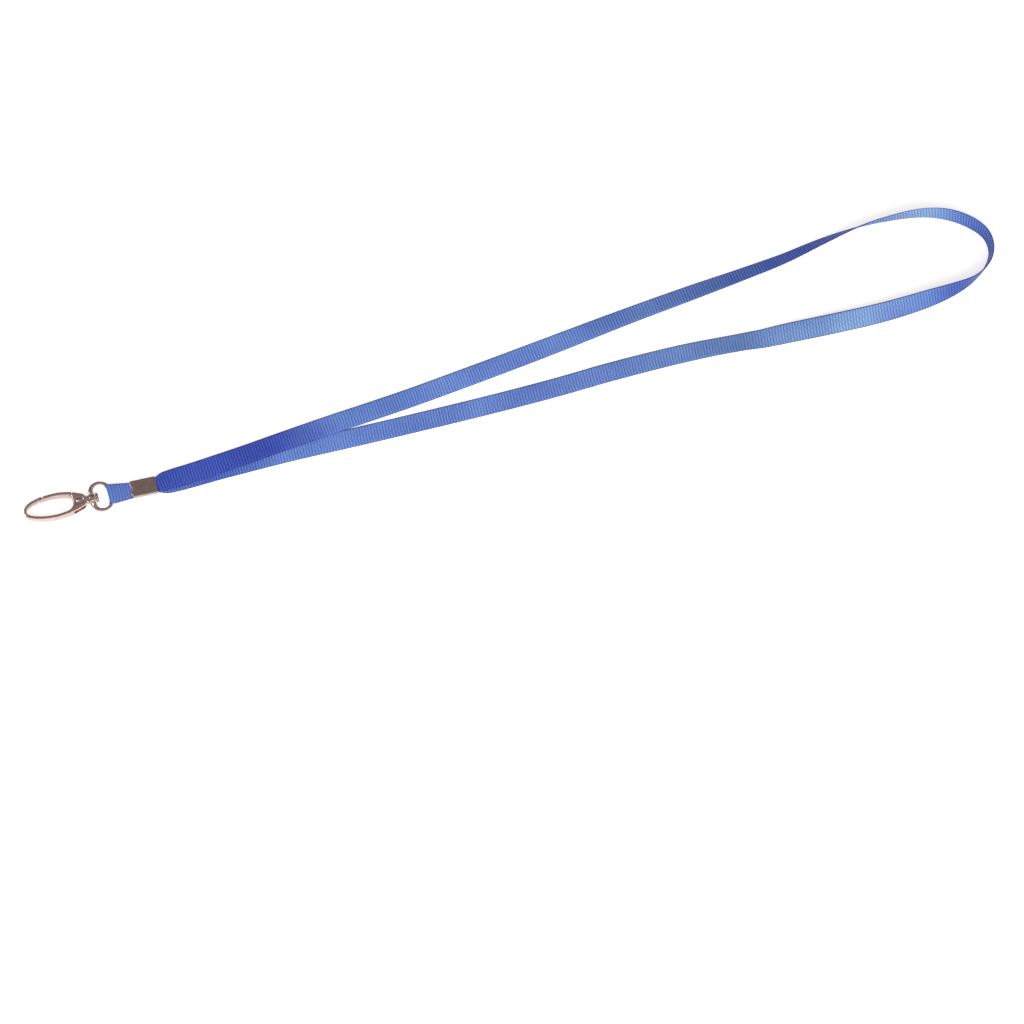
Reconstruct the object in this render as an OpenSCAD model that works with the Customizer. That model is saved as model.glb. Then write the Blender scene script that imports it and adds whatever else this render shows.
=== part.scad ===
// Neck lanyard with a crimped end, a swivel ring and an oval snap hook.
// The metal fittings and the strap lie flat on a table, which is z = 0.
// +X runs from the hook towards the neck loop, +Z is up, and the origin is on the table,
// halfway along the metal fittings and under the swivel's axis.

/* [Strap] */
// Width of the webbing
strap_w = 9; // [8:0.5:10]
// Thickness of the webbing
strap_t = 0.6; // [0.5:0.05:0.7]
// Width of the webbing where the crimp gathers it
gathered_w = 7; // [6.6:0.1:7.2]

/* [Crimp] */
// Length of the crimp along the strap
crimp_len = 11.2; // [9:0.2:11.4]
// Thickness of the crimp's sheet
crimp_sheet = 0.4; // [0.3:0.05:0.5]
// How far the two rounded ears stand out of the crimp's hook side
crimp_ear = 0.6; // [0.3:0.1:0.9]
// Angle of the crimp to the swivel's axis, in degrees
crimp_skew = -2.5; // [-4:0.5:0]

/* [Swivel ring] */
// Thickness of the ring's round wire
ring_wire = 1.6; // [1.4:0.1:1.8]
// Outside diameter of the swivel barrel
barrel_d = 5; // [4.6:0.1:5.2]
// Length of the swivel barrel
barrel_len = 2.6; // [2.2:0.1:2.8]
// Diameter of the swivel pin's shank
pin_d = 2.6; // [2.2:0.1:2.8]
// Diameter of the swivel pin's head
pin_head_d = 4.6; // [4:0.1:4.8]

/* [Hook] */
// Length of the hook from its swivel end to its nose
hook_len = 28.5; // [28:0.5:29]
// Thickness of the hook across its cheeks
hook_t = 5; // [4.8:0.1:5.2]
// Thickness of the hook at its nose
nose_t = 3.3; // [3:0.1:3.8]
// Width of the hook's arm, seen from above
arm_w = 1.4; // [1.3:0.1:1.5]
// Thickness of each cheek
cheek_t = 1.2; // [1.1:0.05:1.3]
// Diameter of the gate rivet's shank
rivet_d = 2; // [1.8:0.1:2.2]

/* [Hidden] */
$fn = 64;

// Fits
running = 0.05;
side_gap = 0.1;
beyond = 1;

// Heights above the table
axis_z = hook_t / 2;
crimp_h = 3 * strap_t + 2 * crimp_sheet;

// Places along X. The hook is drawn in its own frame, [h, y], where h counts from its
// swivel end to its nose, so that x = hook_end_x - h.
hook_end_x = -2;
collar_x = hook_end_x + 0.9;
barrel_x = hook_end_x + 1;
pin_head_x = barrel_x + barrel_len + 0.5;
pin_head_t = 1.1;
bar_x = 9.1;
crimp_x = 23.9;
crimp_y = -0.4;
crimp_out_w = gathered_w + 2 * crimp_sheet;
crimp_way = [cos(crimp_skew), sin(crimp_skew)];
crimp_end = [crimp_x, crimp_y] + crimp_len / 2 * crimp_way;

// The ring's wire, in the [x, y] plane: a short straight bar, and a half circle at each end of
// it that runs back into the barrel. The half circles are slightly thicker than the bar, and
// take in its ends.
bar_half = 1.85;
loop_r = 4.6;
wire_r = ring_wire / 2;
loop_wire_r = wire_r + 0.05;
lap = 0.2;

// The strap's loop round the bar: half its width, and its slack, which lets the ring's curved
// ends turn inside it
fold_half = 4.2;
fold_slack = 0.95;

// The hook's outline, in [h, y] with the gate on +y: cubic curves, each with two ends and two
// control points, run from the cheek along the arm, round the nose and back along the gate.
pivot = [3.3, 0];
cheek_r = 3.3;
cheek_corner = [5.35, 4.5];
cheek_to_gate = 113.9;
cheek_to_arm = 250;
arm_top = [14, -5.15];
nose_tip = [hook_len, 0.5];
gate_mid = [15.5, 6.35];
arm_start = pivot + cheek_r * [cos(cheek_to_arm), sin(cheek_to_arm)];
arm_lean = [-sin(cheek_to_arm), cos(cheek_to_arm)];
ARM_ROOT = [arm_start, arm_start + 3.6 * arm_lean, [10.2, -5.2], arm_top];
ARM_TIP = [arm_top, [19.5, -5.1], [hook_len, -3], nose_tip];
NOSE = [nose_tip, [hook_len, 4.9], [23, 6.2], gate_mid];
GATE_SIDE = [gate_mid, [11.5, 6.4], [8, 5.6], cheek_corner];
curve_steps = 12;

// Where the gate meets the nose: each has a tongue, the gate's inside the nose's
gate_end_h = 18.6;
nose_end_h = 19;
gate_tongue_h = 20.6;
nose_full_h = 21.1;
tongue_in = 0.68;
tongue_gap = 0.12;

// Inside the cheeks
web_h = 1.4;
web_half = 2.1;
collar_d = 4.2;
slot_end_h = 6.8;
pocket_end_h = 12.5;
pocket_wall = 0.6;
taper_start_h = 8;
recess_r = 1.75;
recess_t = 0.45;
rivet_head_r = 1.5;
rivet_dome = 0.6;
hub_r = 1.75;
wall_r = 3.2;
spring_wire = 0.3;
spring_r = 1.4;
spring_turns = 2.5;
spring_pitch = 0.36;
spring_seat_z = 2.2;
turn_steps = 20;

// The strap's free run, from the crimp round the neck loop and back to the crimp. Each point
// is [x, y, roll, lift, width]: roll is how far the outer face leans outwards from facing up,
// in degrees, and lift is the height of the lower edge above the table.
ROUTE = [
    [crimp_end[0], crimp_end[1], 0, 1.5, gathered_w],
    [34, 0, 0, 1.3, 8.9],
    [48, 1, 0, 0.9, 9],
    [70, 2.7, 0, 0.9, 9],
    [90, 4.6, 0, 0.9, 9],
    [110, 6.4, 0, 0.8, 9],
    [130, 8, 0, 0.5, 9],
    [150, 9.9, 0, 0, 9],
    [180, 13.1, 0, 0, 9],
    [215, 17.1, 4, 0, 9],
    [250, 21.2, 14, 0, 9],
    [280, 24.3, 20, 0, 9],
    [305, 26.6, 30, 0, 9],
    [325, 28.8, 38, 0, 9],
    [345, 32.2, 52, 0, 9],
    [362, 34.2, 70, 0, 9],
    [377, 34.3, 83, 0, 9],
    [390, 33, 94, 0, 9],
    [400.5, 29.4, 103, 0, 9],
    [409.2, 23.2, 106, 0, 9],
    [414.4, 16, 105, 0, 9],
    [415, 8.6, 104, 0, 9],
    [411.7, 2.1, 105, 0, 9],
    [404.8, -3, 98, 0, 9],
    [395, -5.7, 75, 0, 9],
    [380, -7.1, 50, 0, 9],
    [360, -7.6, 35, 0, 9],
    [340, -6.8, 25, 0, 9],
    [318, -5.4, 12, 0, 9],
    [295, -3.8, -8, 0, 9],
    [270, -2.2, -4, 0, 9],
    [240, -1.9, 0, 0, 9],
    [210, -2.7, 0, 0, 9],
    [180, -2.8, 0, 0, 9],
    [150, -2.4, 0, 0, 9],
    [120, -1.8, 0, 0, 9],
    [90, -1, 0, 0, 9],
    [60, -1, 0, 0, 9],
    [35, -1.4, 0, 0.3, 8.9],
    [crimp_end[0], crimp_end[1], 0, 0.5, gathered_w],
];

// Curves
function bezier(p, t) =
    pow(1 - t, 3) * p[0]
    + 3 * pow(1 - t, 2) * t * p[1]
    + 3 * (1 - t) * t * t * p[2]
    + pow(t, 3) * p[3];

function bezier_way(p, t) =
    pow(1 - t, 2) * (p[1] - p[0]) + 2 * (1 - t) * t * (p[2] - p[1]) + t * t * (p[3] - p[2]);

function inset(p, t, d) =
    let (way = bezier_way(p, t))
    bezier(p, t) + d * [-way[1], way[0]] / norm(way);

// Points of the curves, moved inwards by d
function line_at(curves, d) = [
    for (c = [0:len(curves) - 1], i = [(c == 0 ? 0 : 1):curve_steps])
        inset(curves[c], i / curve_steps, d)
];

function backwards(list) = [for (i = [len(list) - 1:-1:0]) list[i]];

// The strap's sections
function route_z(p) = p[3] + p[4] / 2 * abs(sin(p[2])) + strap_t / 2 * abs(cos(p[2]));

function route_way(i) =
    let (
        a = ROUTE[max(i - 1, 0)],
        b = ROUTE[min(i + 1, len(ROUTE) - 1)],
        way = [b[0] - a[0], b[1] - a[1]]
    )
    i == 0 ? crimp_way
    : i == len(ROUTE) - 1 ? -crimp_way
    : way / norm(way);

function section(i) =
    let (
        p = ROUTE[i],
        way = route_way(i),
        out = [-way[1], way[0], 0],
        across = [-out[0] * cos(p[2]), -out[1] * cos(p[2]), sin(p[2])],
        up = [out[0] * sin(p[2]), out[1] * sin(p[2]), cos(p[2])],
        edge = p[4] / 2,
        face = strap_t / 2,
        bevel = 0.4 * strap_t
    )
    [
        for (q = [
            [edge - bevel, -face], [edge, bevel - face], [edge, face - bevel], [edge - bevel, face],
            [bevel - edge, face], [-edge, face - bevel], [-edge, bevel - face], [bevel - edge, -face],
        ])
            [p[0], p[1], route_z(p)] + q[0] * across + q[1] * up
    ];

// A closed tube through rings of points. Opposite sides are split along the same diagonal, so
// that a twisted band keeps its thickness.
module tube(rings) {
    sides = len(rings[0]);
    last = len(rings) - 1;
    polyhedron(
        points = [for (ring = rings, p = ring) p],
        faces = concat(
            [[for (k = [0:sides - 1]) k]],
            [[for (k = [sides - 1:-1:0]) last * sides + k]],
            [
                for (i = [0:last - 1], k = [0:sides - 1], half = [0, 1])
                    let (
                        here = i * sides,
                        there = here + sides,
                        next = (k + 1) % sides
                    )
                    k < sides / 2 ? (
                        half == 0 ? [here + k, there + k, there + next]
                        : [here + k, there + next, here + next]
                    ) : (
                        half == 0 ? [here + k, there + k, here + next]
                        : [there + k, there + next, here + next]
                    )
            ]
        ),
        convexity = 6
    );
}

module neck_strap() {
    color("royalblue") tube([for (i = [0:len(ROUTE) - 1]) section(i)]);
}

// Everything inside the crimp, in the crimp's own frame
module in_crimp() {
    translate([crimp_x, crimp_y, 0]) rotate([0, 0, crimp_skew]) children();
}

// The strap's end, wrapped round the ring's bar and back into the crimp
module ring_fold_strap() {
    wrap_in = loop_wire_r + fold_slack;
    wrap_out = wrap_in + strap_t;
    fold_end = crimp_x - crimp_len / 2;
    under_ears = fold_end - 2 * crimp_ear;
    stack_top = crimp_sheet + 3 * strap_t;
    color("royalblue") {
        intersection() {
            rotate([90, 0, 0]) linear_extrude(height = 2 * strap_w, center = true) {
                difference() {
                    translate([bar_x, axis_z]) circle(r = wrap_out);
                    translate([bar_x, axis_z]) circle(r = wrap_in);
                    translate([bar_x, 0]) square([wrap_out + beyond, 2 * hook_t]);
                }
                polygon([
                    [bar_x, axis_z + wrap_in],
                    [bar_x, axis_z + wrap_out],
                    [under_ears, stack_top],
                    [fold_end, stack_top],
                    [fold_end, stack_top - strap_t],
                    [under_ears, stack_top - strap_t],
                ]);
                polygon([
                    [bar_x, axis_z - wrap_out],
                    [bar_x, axis_z - wrap_in],
                    [fold_end, crimp_sheet + strap_t],
                    [fold_end, crimp_sheet],
                ]);
            }
            linear_extrude(height = 2 * hook_t) polygon([
                [bar_x - 2 * wrap_out, -fold_half],
                [bar_x, -fold_half],
                [fold_end, crimp_y - gathered_w / 2 + 0.25],
                [fold_end, crimp_y + gathered_w / 2 + 0.2],
                [bar_x, fold_half],
                [bar_x - 2 * wrap_out, fold_half],
            ]);
        }
        in_crimp() translate([-crimp_len / 2, -gathered_w / 2, crimp_sheet])
            cube([crimp_len, gathered_w, 3 * strap_t]);
    }
}

// A bent sheet round the strap: a big face on top, two flaps that nearly meet below, and
// two rounded ears on the hook side of the big face
module crimp() {
    corner = 0.5;
    seam = 0.25;
    ear_w = 2.3;
    color("rosybrown") in_crimp() {
        difference() {
            rotate([90, 0, 90]) linear_extrude(height = crimp_len, center = true)
                difference() {
                    union() {
                        translate([-crimp_out_w / 2, corner])
                            square([crimp_out_w, crimp_h - 2 * corner]);
                        translate([corner - crimp_out_w / 2, 0])
                            square([crimp_out_w - 2 * corner, crimp_h]);
                        for (side = [-1, 1], level = [corner, crimp_h - corner])
                            translate([side * (crimp_out_w / 2 - corner), level])
                                circle(r = corner);
                    }
                    translate([-gathered_w / 2, crimp_sheet]) square([gathered_w, 3 * strap_t]);
                    translate([-seam / 2, -beyond]) square([seam, 2 * crimp_sheet + beyond]);
                }
        }
        for (side = [-1, 1])
            intersection() {
                translate([-crimp_len / 2 - crimp_ear, -crimp_out_w / 2, crimp_h - crimp_sheet])
                    cube([crimp_ear, crimp_out_w, crimp_sheet]);
                translate([
                    ear_w / 2 - crimp_len / 2 - crimp_ear,
                    side * (crimp_out_w / 2 - corner - ear_w / 2),
                    0
                ])
                    cylinder(r = ear_w / 2, h = 2 * crimp_h);
            }
    }
}

// One end of the oval ring, on the side of +Y, from the bar round into the barrel
module ring_half() {
    translate([bar_x - loop_r, bar_half, 0]) rotate_extrude(angle = 180)
        translate([loop_r, 0]) circle(r = loop_wire_r);
}

module swivel_ring() {
    color("silver") translate([0, 0, axis_z]) difference() {
        union() {
            translate([bar_x, 0, 0]) rotate([90, 0, 0])
                cylinder(r = wire_r, h = 2 * (bar_half + lap), center = true);
            ring_half();
            mirror([0, 1, 0]) ring_half();
            translate([barrel_x, 0, 0]) rotate([0, 90, 0]) cylinder(d = barrel_d, h = barrel_len);
        }
        translate([barrel_x - beyond, 0, 0]) rotate([0, 90, 0])
            cylinder(r = pin_d / 2 + running, h = barrel_len + 2 * beyond);
    }
}

// The tail of the swivel pin, spread into the hook's web
module pin_tail() {
    spread = 0.3;
    translate([hook_end_x - web_h, 0, axis_z]) rotate([0, 90, 0])
        cylinder(r1 = pin_d / 2 + spread, r2 = pin_d / 2, h = spread);
}

module pin_shank(from_x, to_x) {
    translate([from_x, 0, axis_z]) rotate([0, 90, 0]) cylinder(d = pin_d, h = to_x - from_x);
}

module swivel_pin() {
    bevel = 0.2;
    color("silver") {
        pin_tail();
        pin_shank(hook_end_x - web_h, pin_head_x);
        translate([pin_head_x, 0, axis_z]) rotate([0, 90, 0])
            rotate_extrude() polygon([
                [0, 0],
                [pin_head_d / 2 - bevel, 0],
                [pin_head_d / 2, bevel],
                [pin_head_d / 2, pin_head_t - bevel],
                [pin_head_d / 2 - bevel, pin_head_t],
                [0, pin_head_t],
            ]);
    }
}

// The hook's own frame, [h, y]
module hook_frame() {
    translate([hook_end_x, 0, 0]) mirror([1, 0, 0]) children();
}

// Keeps what is between two places along the hook
module between(from_h, to_h) {
    intersection() {
        children();
        translate([from_h, -hook_len]) square([to_h - from_h, 2 * hook_len]);
    }
}

// The arm, the nose and the nose's thin tongue, which covers the gate's
module arm_plan() {
    difference() {
        strip([ARM_ROOT, ARM_TIP, NOSE], 0, arm_w);
        square([nose_full_h, hook_len]);
    }
    between(nose_end_h, nose_full_h + tongue_gap) strip([NOSE], 0, tongue_in);
}

// The strip of the outline between the depths d0 and d1
module strip(curves, d0, d1) {
    polygon(concat(line_at(curves, d0), backwards(line_at(curves, d1))));
}

// A plate of the hook's thickness, thinner towards the nose, that is margin thinner each side
module tapered(margin) {
    drop = (hook_t - nose_t) / 2;
    intersection() {
        linear_extrude(height = hook_t) children();
        rotate([90, 0, 0]) linear_extrude(height = 2 * hook_len, center = true) polygon([
            [-beyond, margin],
            [taper_start_h, margin],
            [hook_len + 1, margin + drop],
            [hook_len + 1, hook_t - margin - drop],
            [taper_start_h, hook_t - margin],
            [-beyond, hook_t - margin],
        ]);
    }
}

// A cheek seen from above, with the root of the arm
module cheek_plan() {
    arm_inside = [9.3, -3.5];
    front = [[arm_inside, [7.6, -3.1], [6, -1.4], [6, 0.6]], [[6, 0.6], [6, 1.8], [6.1, 2.6], [6.3, 3.4]]];
    arc_steps = 18;
    arc_step = (cheek_to_arm - cheek_to_gate) / arc_steps;
    polygon(concat(
        [cheek_corner],
        [
            for (i = [0:arc_steps])
                pivot + cheek_r * [cos(cheek_to_gate + i * arc_step), sin(cheek_to_gate + i * arc_step)]
        ],
        [for (i = [1:7]) inset(ARM_ROOT, i / curve_steps, 0)],
        line_at(front, 0)
    ));
}

module at_pivot() {
    translate([pivot[0], pivot[1], 0]) children();
}

module hook_body() {
    color("rosybrown") hook_frame() difference() {
        union() {
            tapered(0) {
                cheek_plan();
                arm_plan();
            }
            translate([hook_end_x - collar_x, 0, axis_z]) rotate([0, 90, 0])
                cylinder(d = collar_d, h = web_h + collar_x - hook_end_x);
        }
        // the space between the cheeks, which is open on both sides of the hook
        translate([web_h, -hook_len / 2, cheek_t])
            cube([slot_end_h - web_h, hook_len, hook_t - 2 * cheek_t]);
        for (from_y = [-web_half - hook_len, web_half])
            translate([-beyond, from_y, cheek_t])
                cube([web_h + 2 * beyond, hook_len, hook_t - 2 * cheek_t]);
        // the spring's pocket in the arm's inner wall
        translate([0, 0, cheek_t]) linear_extrude(height = hook_t - 2 * cheek_t)
            between(slot_end_h - 0.5, pocket_end_h) strip([ARM_ROOT], pocket_wall, 2 * arm_w);
        at_pivot() {
            translate([0, 0, -beyond]) cylinder(d = rivet_d, h = hook_t + 2 * beyond);
            translate([0, 0, -beyond]) cylinder(r = recess_r, h = recess_t + beyond);
            translate([0, 0, hook_t - recess_t]) cylinder(r = recess_r, h = recess_t + beyond);
        }
        mirror([1, 0, 0]) translate([-hook_end_x, 0, 0]) {
            pin_shank(hook_end_x - web_h - beyond, barrel_x + beyond);
            pin_tail();
        }
    }
}

module gate_rivet() {
    dome_r = (pow(rivet_head_r, 2) + pow(rivet_dome, 2)) / (2 * rivet_dome);
    color("silver") hook_frame() at_pivot() {
        cylinder(d = rivet_d, h = hook_t - recess_t);
        translate([0, 0, running]) cylinder(r = rivet_head_r, h = recess_t - running);
        translate([0, 0, hook_t - recess_t]) intersection() {
            translate([0, 0, rivet_dome - dome_r]) sphere(r = dome_r);
            cylinder(r = rivet_head_r, h = rivet_dome);
        }
    }
}

// A ring of points round p, for wire that runs level in the direction way
function wire_ring(p, way) = [
    for (k = [0:7])
        p + spring_wire / 2 * (cos(45 * k) * [-way[1], way[0], 0] + sin(45 * k) * [0, 0, 1])
];

// A torsion spring round the rivet: one leg reaches the arm's pocket, one bears on the gate
module gate_spring() {
    base = [pivot[0], pivot[1], spring_seat_z + spring_wire / 2 + side_gap];
    arm_leg = [8, -3.9, base[2]];
    gate_leg = 2 * [1, 0, 0];
    rise = spring_pitch * spring_turns;
    coil = [
        for (i = [0:turn_steps * spring_turns])
            let (a = -90 - 360 * i / turn_steps)
            wire_ring(
                base + [spring_r * cos(a), spring_r * sin(a), spring_pitch * i / turn_steps],
                [sin(a), -cos(a)]
            )
    ];
    first = base + [0, -spring_r, 0];
    arm_way = (first - arm_leg) / norm(first - arm_leg);
    last = base + [0, spring_r, rise];
    color("gainsboro") hook_frame() tube(concat(
        [wire_ring(arm_leg, arm_way), wire_ring(first - 0.4 * arm_way, arm_way)],
        coil,
        [wire_ring(last + gate_leg, [1, 0])]
    ));
}

module gate_plan() {
    difference() {
        strip([NOSE, GATE_SIDE], 0, arm_w);
        polygon([[0, 0], [6.5, 0], [6.5, 3.45], [5.5, 4.65], [5.5, 2 * arm_w + 4.65], [0, hook_t]]);
        translate([gate_end_h, 0]) square(hook_len);
    }
    between(gate_end_h - 0.5, gate_tongue_h) strip([NOSE], tongue_in + tongue_gap, arm_w);
}

// The part of the gate between the cheeks: its outer wall, its hub and a lobe in the slot
module hub_plan() {
    polygon(concat(
        [
            for (turn = [0, 7.5, 15])
                pivot + wall_r * [cos(cheek_to_gate + turn), sin(cheek_to_gate + turn)]
        ],
        [
            [1.75, 2.1],
            [1.6, 0.9],
            [2.6, -1.6],
            [3.6, -3.2],
            [4.9, -3.2],
            [4.2, -1.6],
            [5.1, 0],
            [5.6, 1.6],
            [6.2, 2.6],
            [7.4, 4],
            [6.6, 4.85],
            cheek_corner,
        ]
    ));
    translate(pivot) circle(r = hub_r);
}

module gate() {
    hub_bottom = cheek_t + side_gap;
    hub_top = hook_t - cheek_t - side_gap;
    groove_w = 3 * spring_wire;
    color("rosybrown") hook_frame() difference() {
        union() {
            tapered(side_gap) gate_plan();
            translate([0, 0, hub_bottom]) linear_extrude(height = hub_top - hub_bottom) hub_plan();
        }
        // the rivet's bore, and above the seat the spring's room with a groove for its leg
        at_pivot() {
            cylinder(r = rivet_d / 2 + running, h = hook_t);
            translate([0, 0, spring_seat_z]) cylinder(r = hub_r, h = hook_t);
            translate([0, spring_r - groove_w / 2, spring_seat_z]) cube([3, groove_w, hook_t]);
        }
        translate([0, -hook_len, spring_seat_z]) cube([hook_len, hook_len, hook_t]);
    }
}

neck_strap();
ring_fold_strap();
crimp();
swivel_ring();
swivel_pin();
hook_body();
gate_rivet();
gate_spring();
gate();
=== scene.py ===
"""A flat neck lanyard lying on a pale floor: woven strap, crimp, swivel ring and snap hook."""

import math

import bmesh
import bpy
from mathutils import Matrix, Vector
from mathutils.geometry import tessellate_polygon


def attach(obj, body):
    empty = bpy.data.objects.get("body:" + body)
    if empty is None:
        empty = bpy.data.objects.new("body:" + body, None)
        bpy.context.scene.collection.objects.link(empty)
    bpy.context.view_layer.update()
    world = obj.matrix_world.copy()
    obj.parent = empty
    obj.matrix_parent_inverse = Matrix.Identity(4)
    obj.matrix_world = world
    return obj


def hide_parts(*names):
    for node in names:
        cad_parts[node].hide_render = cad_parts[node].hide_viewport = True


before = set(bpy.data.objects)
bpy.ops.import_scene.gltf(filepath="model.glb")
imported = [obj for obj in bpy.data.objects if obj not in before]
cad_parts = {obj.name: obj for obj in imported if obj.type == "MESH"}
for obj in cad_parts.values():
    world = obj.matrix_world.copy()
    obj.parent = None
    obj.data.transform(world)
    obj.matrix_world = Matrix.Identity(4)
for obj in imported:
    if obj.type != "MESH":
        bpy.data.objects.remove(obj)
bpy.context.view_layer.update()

MM = 0.001

# ---------------------------------------------------------------------------
# Camera: a long lens, from the near side and well above, turned a little to the hook's end
# ---------------------------------------------------------------------------

CAMERA_AZIMUTH = -15.5
CAMERA_ELEVATION = 68.0
CAMERA_LENS = 600.0
CAMERA_WIDTH = 0.451
CAMERA_TARGET = Vector((0.1772, -0.0545, 0.0))


def make_camera():
    data = bpy.data.cameras.new("camera")
    data.lens = CAMERA_LENS
    data.sensor_width = 36.0
    camera = bpy.data.objects.new("camera", data)
    bpy.context.scene.collection.objects.link(camera)
    azimuth = math.radians(CAMERA_AZIMUTH)
    elevation = math.radians(CAMERA_ELEVATION)
    back = Vector((
        math.sin(azimuth) * math.cos(elevation),
        -math.cos(azimuth) * math.cos(elevation),
        math.sin(elevation),
    ))
    distance = CAMERA_WIDTH * data.lens / data.sensor_width
    camera.location = CAMERA_TARGET + back * distance
    camera.rotation_mode = "QUATERNION"
    camera.rotation_quaternion = (-back).to_track_quat("-Z", "Y")
    data.clip_start = 0.1
    data.clip_end = 20.0
    bpy.context.scene.camera = camera


# ---------------------------------------------------------------------------
# Sizes shared with the CAD source, in metres
# ---------------------------------------------------------------------------

STRAP_W = 9.0 * MM
STRAP_T = 0.6 * MM
AXIS_Z = 2.5 * MM
RING_BAR_X = 9.1 * MM
RING_BAR_HALF = 1.85 * MM
RING_LOOP_R = 4.6 * MM
RING_LOOP_WIRE_R = 0.85 * MM
CRIMP_CENTRE = Vector((23.9 * MM, -0.4 * MM, 0.0))
CRIMP_LENGTH = 11.2 * MM
CRIMP_SKEW = math.radians(-2.5)
CRIMP_WAY = Vector((math.cos(CRIMP_SKEW), math.sin(CRIMP_SKEW), 0.0))
CRIMP_END = CRIMP_CENTRE + CRIMP_LENGTH / 2 * CRIMP_WAY

# The strap's free run: x, y, roll in degrees, lift of its lower edge, width
ROUTE = [
    (CRIMP_END.x, CRIMP_END.y, 0, 0.0015, 0.0070),
    (0.034, 0.0000, 0, 0.0013, 0.0089),
    (0.048, 0.0010, 0, 0.0009, 0.0090),
    (0.070, 0.0027, 0, 0.0009, 0.0090),
    (0.090, 0.0046, 0, 0.0009, 0.0090),
    (0.110, 0.0064, 0, 0.0008, 0.0090),
    (0.130, 0.0080, 0, 0.0005, 0.0090),
    (0.150, 0.0099, 0, 0.0000, 0.0090),
    (0.180, 0.0131, 0, 0.0000, 0.0090),
    (0.2150, 0.0171, 4, 0.0000, 0.0090),
    (0.2500, 0.0212, 14, 0.0000, 0.0090),
    (0.2800, 0.0243, 20, 0.0000, 0.0090),
    (0.305, 0.0266, 30, 0.0000, 0.0090),
    (0.325, 0.0288, 38, 0.0000, 0.0090),
    (0.345, 0.0322, 52, 0.0000, 0.0090),
    (0.362, 0.0342, 70, 0.0000, 0.0090),
    (0.3770, 0.0343, 83, 0.0000, 0.0090),
    (0.3900, 0.0330, 94, 0.0000, 0.0090),
    (0.4005, 0.0294, 103, 0.0000, 0.0090),
    (0.4092, 0.0232, 106, 0.0000, 0.0090),
    (0.4144, 0.0160, 105, 0.0000, 0.0090),
    (0.4150, 0.0086, 104, 0.0000, 0.0090),
    (0.4117, 0.0021, 105, 0.0000, 0.0090),
    (0.4048, -0.0030, 98, 0.0000, 0.0090),
    (0.395, -0.0057, 75, 0.0000, 0.0090),
    (0.380, -0.0071, 50, 0.0000, 0.0090),
    (0.360, -0.0076, 35, 0.0000, 0.0090),
    (0.340, -0.0068, 25, 0.0000, 0.0090),
    (0.3180, -0.0054, 12, 0.0000, 0.0090),
    (0.2950, -0.0038, -8, 0.0000, 0.0090),
    (0.2700, -0.0022, -4, 0.0000, 0.0090),
    (0.240, -0.0019, 0, 0.0000, 0.0090),
    (0.210, -0.0027, 0, 0.0000, 0.0090),
    (0.180, -0.0028, 0, 0.0000, 0.0090),
    (0.150, -0.0024, 0, 0.0000, 0.0090),
    (0.120, -0.0018, 0, 0.0000, 0.0090),
    (0.090, -0.0010, 0, 0.0000, 0.0090),
    (0.060, -0.0010, 0, 0.0000, 0.0090),
    (0.035, -0.0014, 0, 0.0003, 0.0089),
    (CRIMP_END.x, CRIMP_END.y, 0, 0.0005, 0.0070),
]

# ---------------------------------------------------------------------------
# Mesh helpers
# ---------------------------------------------------------------------------


def add_object(name, mesh, body, material):
    piece = bpy.data.objects.new(name, mesh)
    bpy.context.scene.collection.objects.link(piece)
    mesh.materials.clear()
    mesh.materials.append(material)
    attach(piece, body)
    return piece


def finished(name, bm):
    """The built shape as a mesh, with its faces turned outwards."""
    bmesh.ops.recalc_face_normals(bm, faces=bm.faces)
    mesh = bpy.data.meshes.new(name)
    bm.to_mesh(mesh)
    bm.free()
    return mesh


def rings_mesh(name, rings, uvs=None):
    """A closed tube through equal rings of points. uvs, if given, is a row of pairs per ring."""
    bm = bmesh.new()
    rows = [[bm.verts.new(point) for point in ring] for ring in rings]
    sides = len(rings[0])
    layer = bm.loops.layers.uv.new("weave") if uvs else None
    for i in range(len(rows) - 1):
        for k in range(sides):
            after = (k + 1) % sides
            face = bm.faces.new((rows[i][k], rows[i][after], rows[i + 1][after], rows[i + 1][k]))
            face.smooth = True
            if uvs:
                corners = (uvs[i][k], uvs[i][after], uvs[i + 1][after], uvs[i + 1][k])
                for loop, uv in zip(face.loops, corners):
                    loop[layer].uv = uv
    for row in (list(reversed(rows[0])), rows[-1]):
        bm.faces.new(row)
    return finished(name, bm)


# ---------------------------------------------------------------------------
# Materials
# ---------------------------------------------------------------------------


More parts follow.
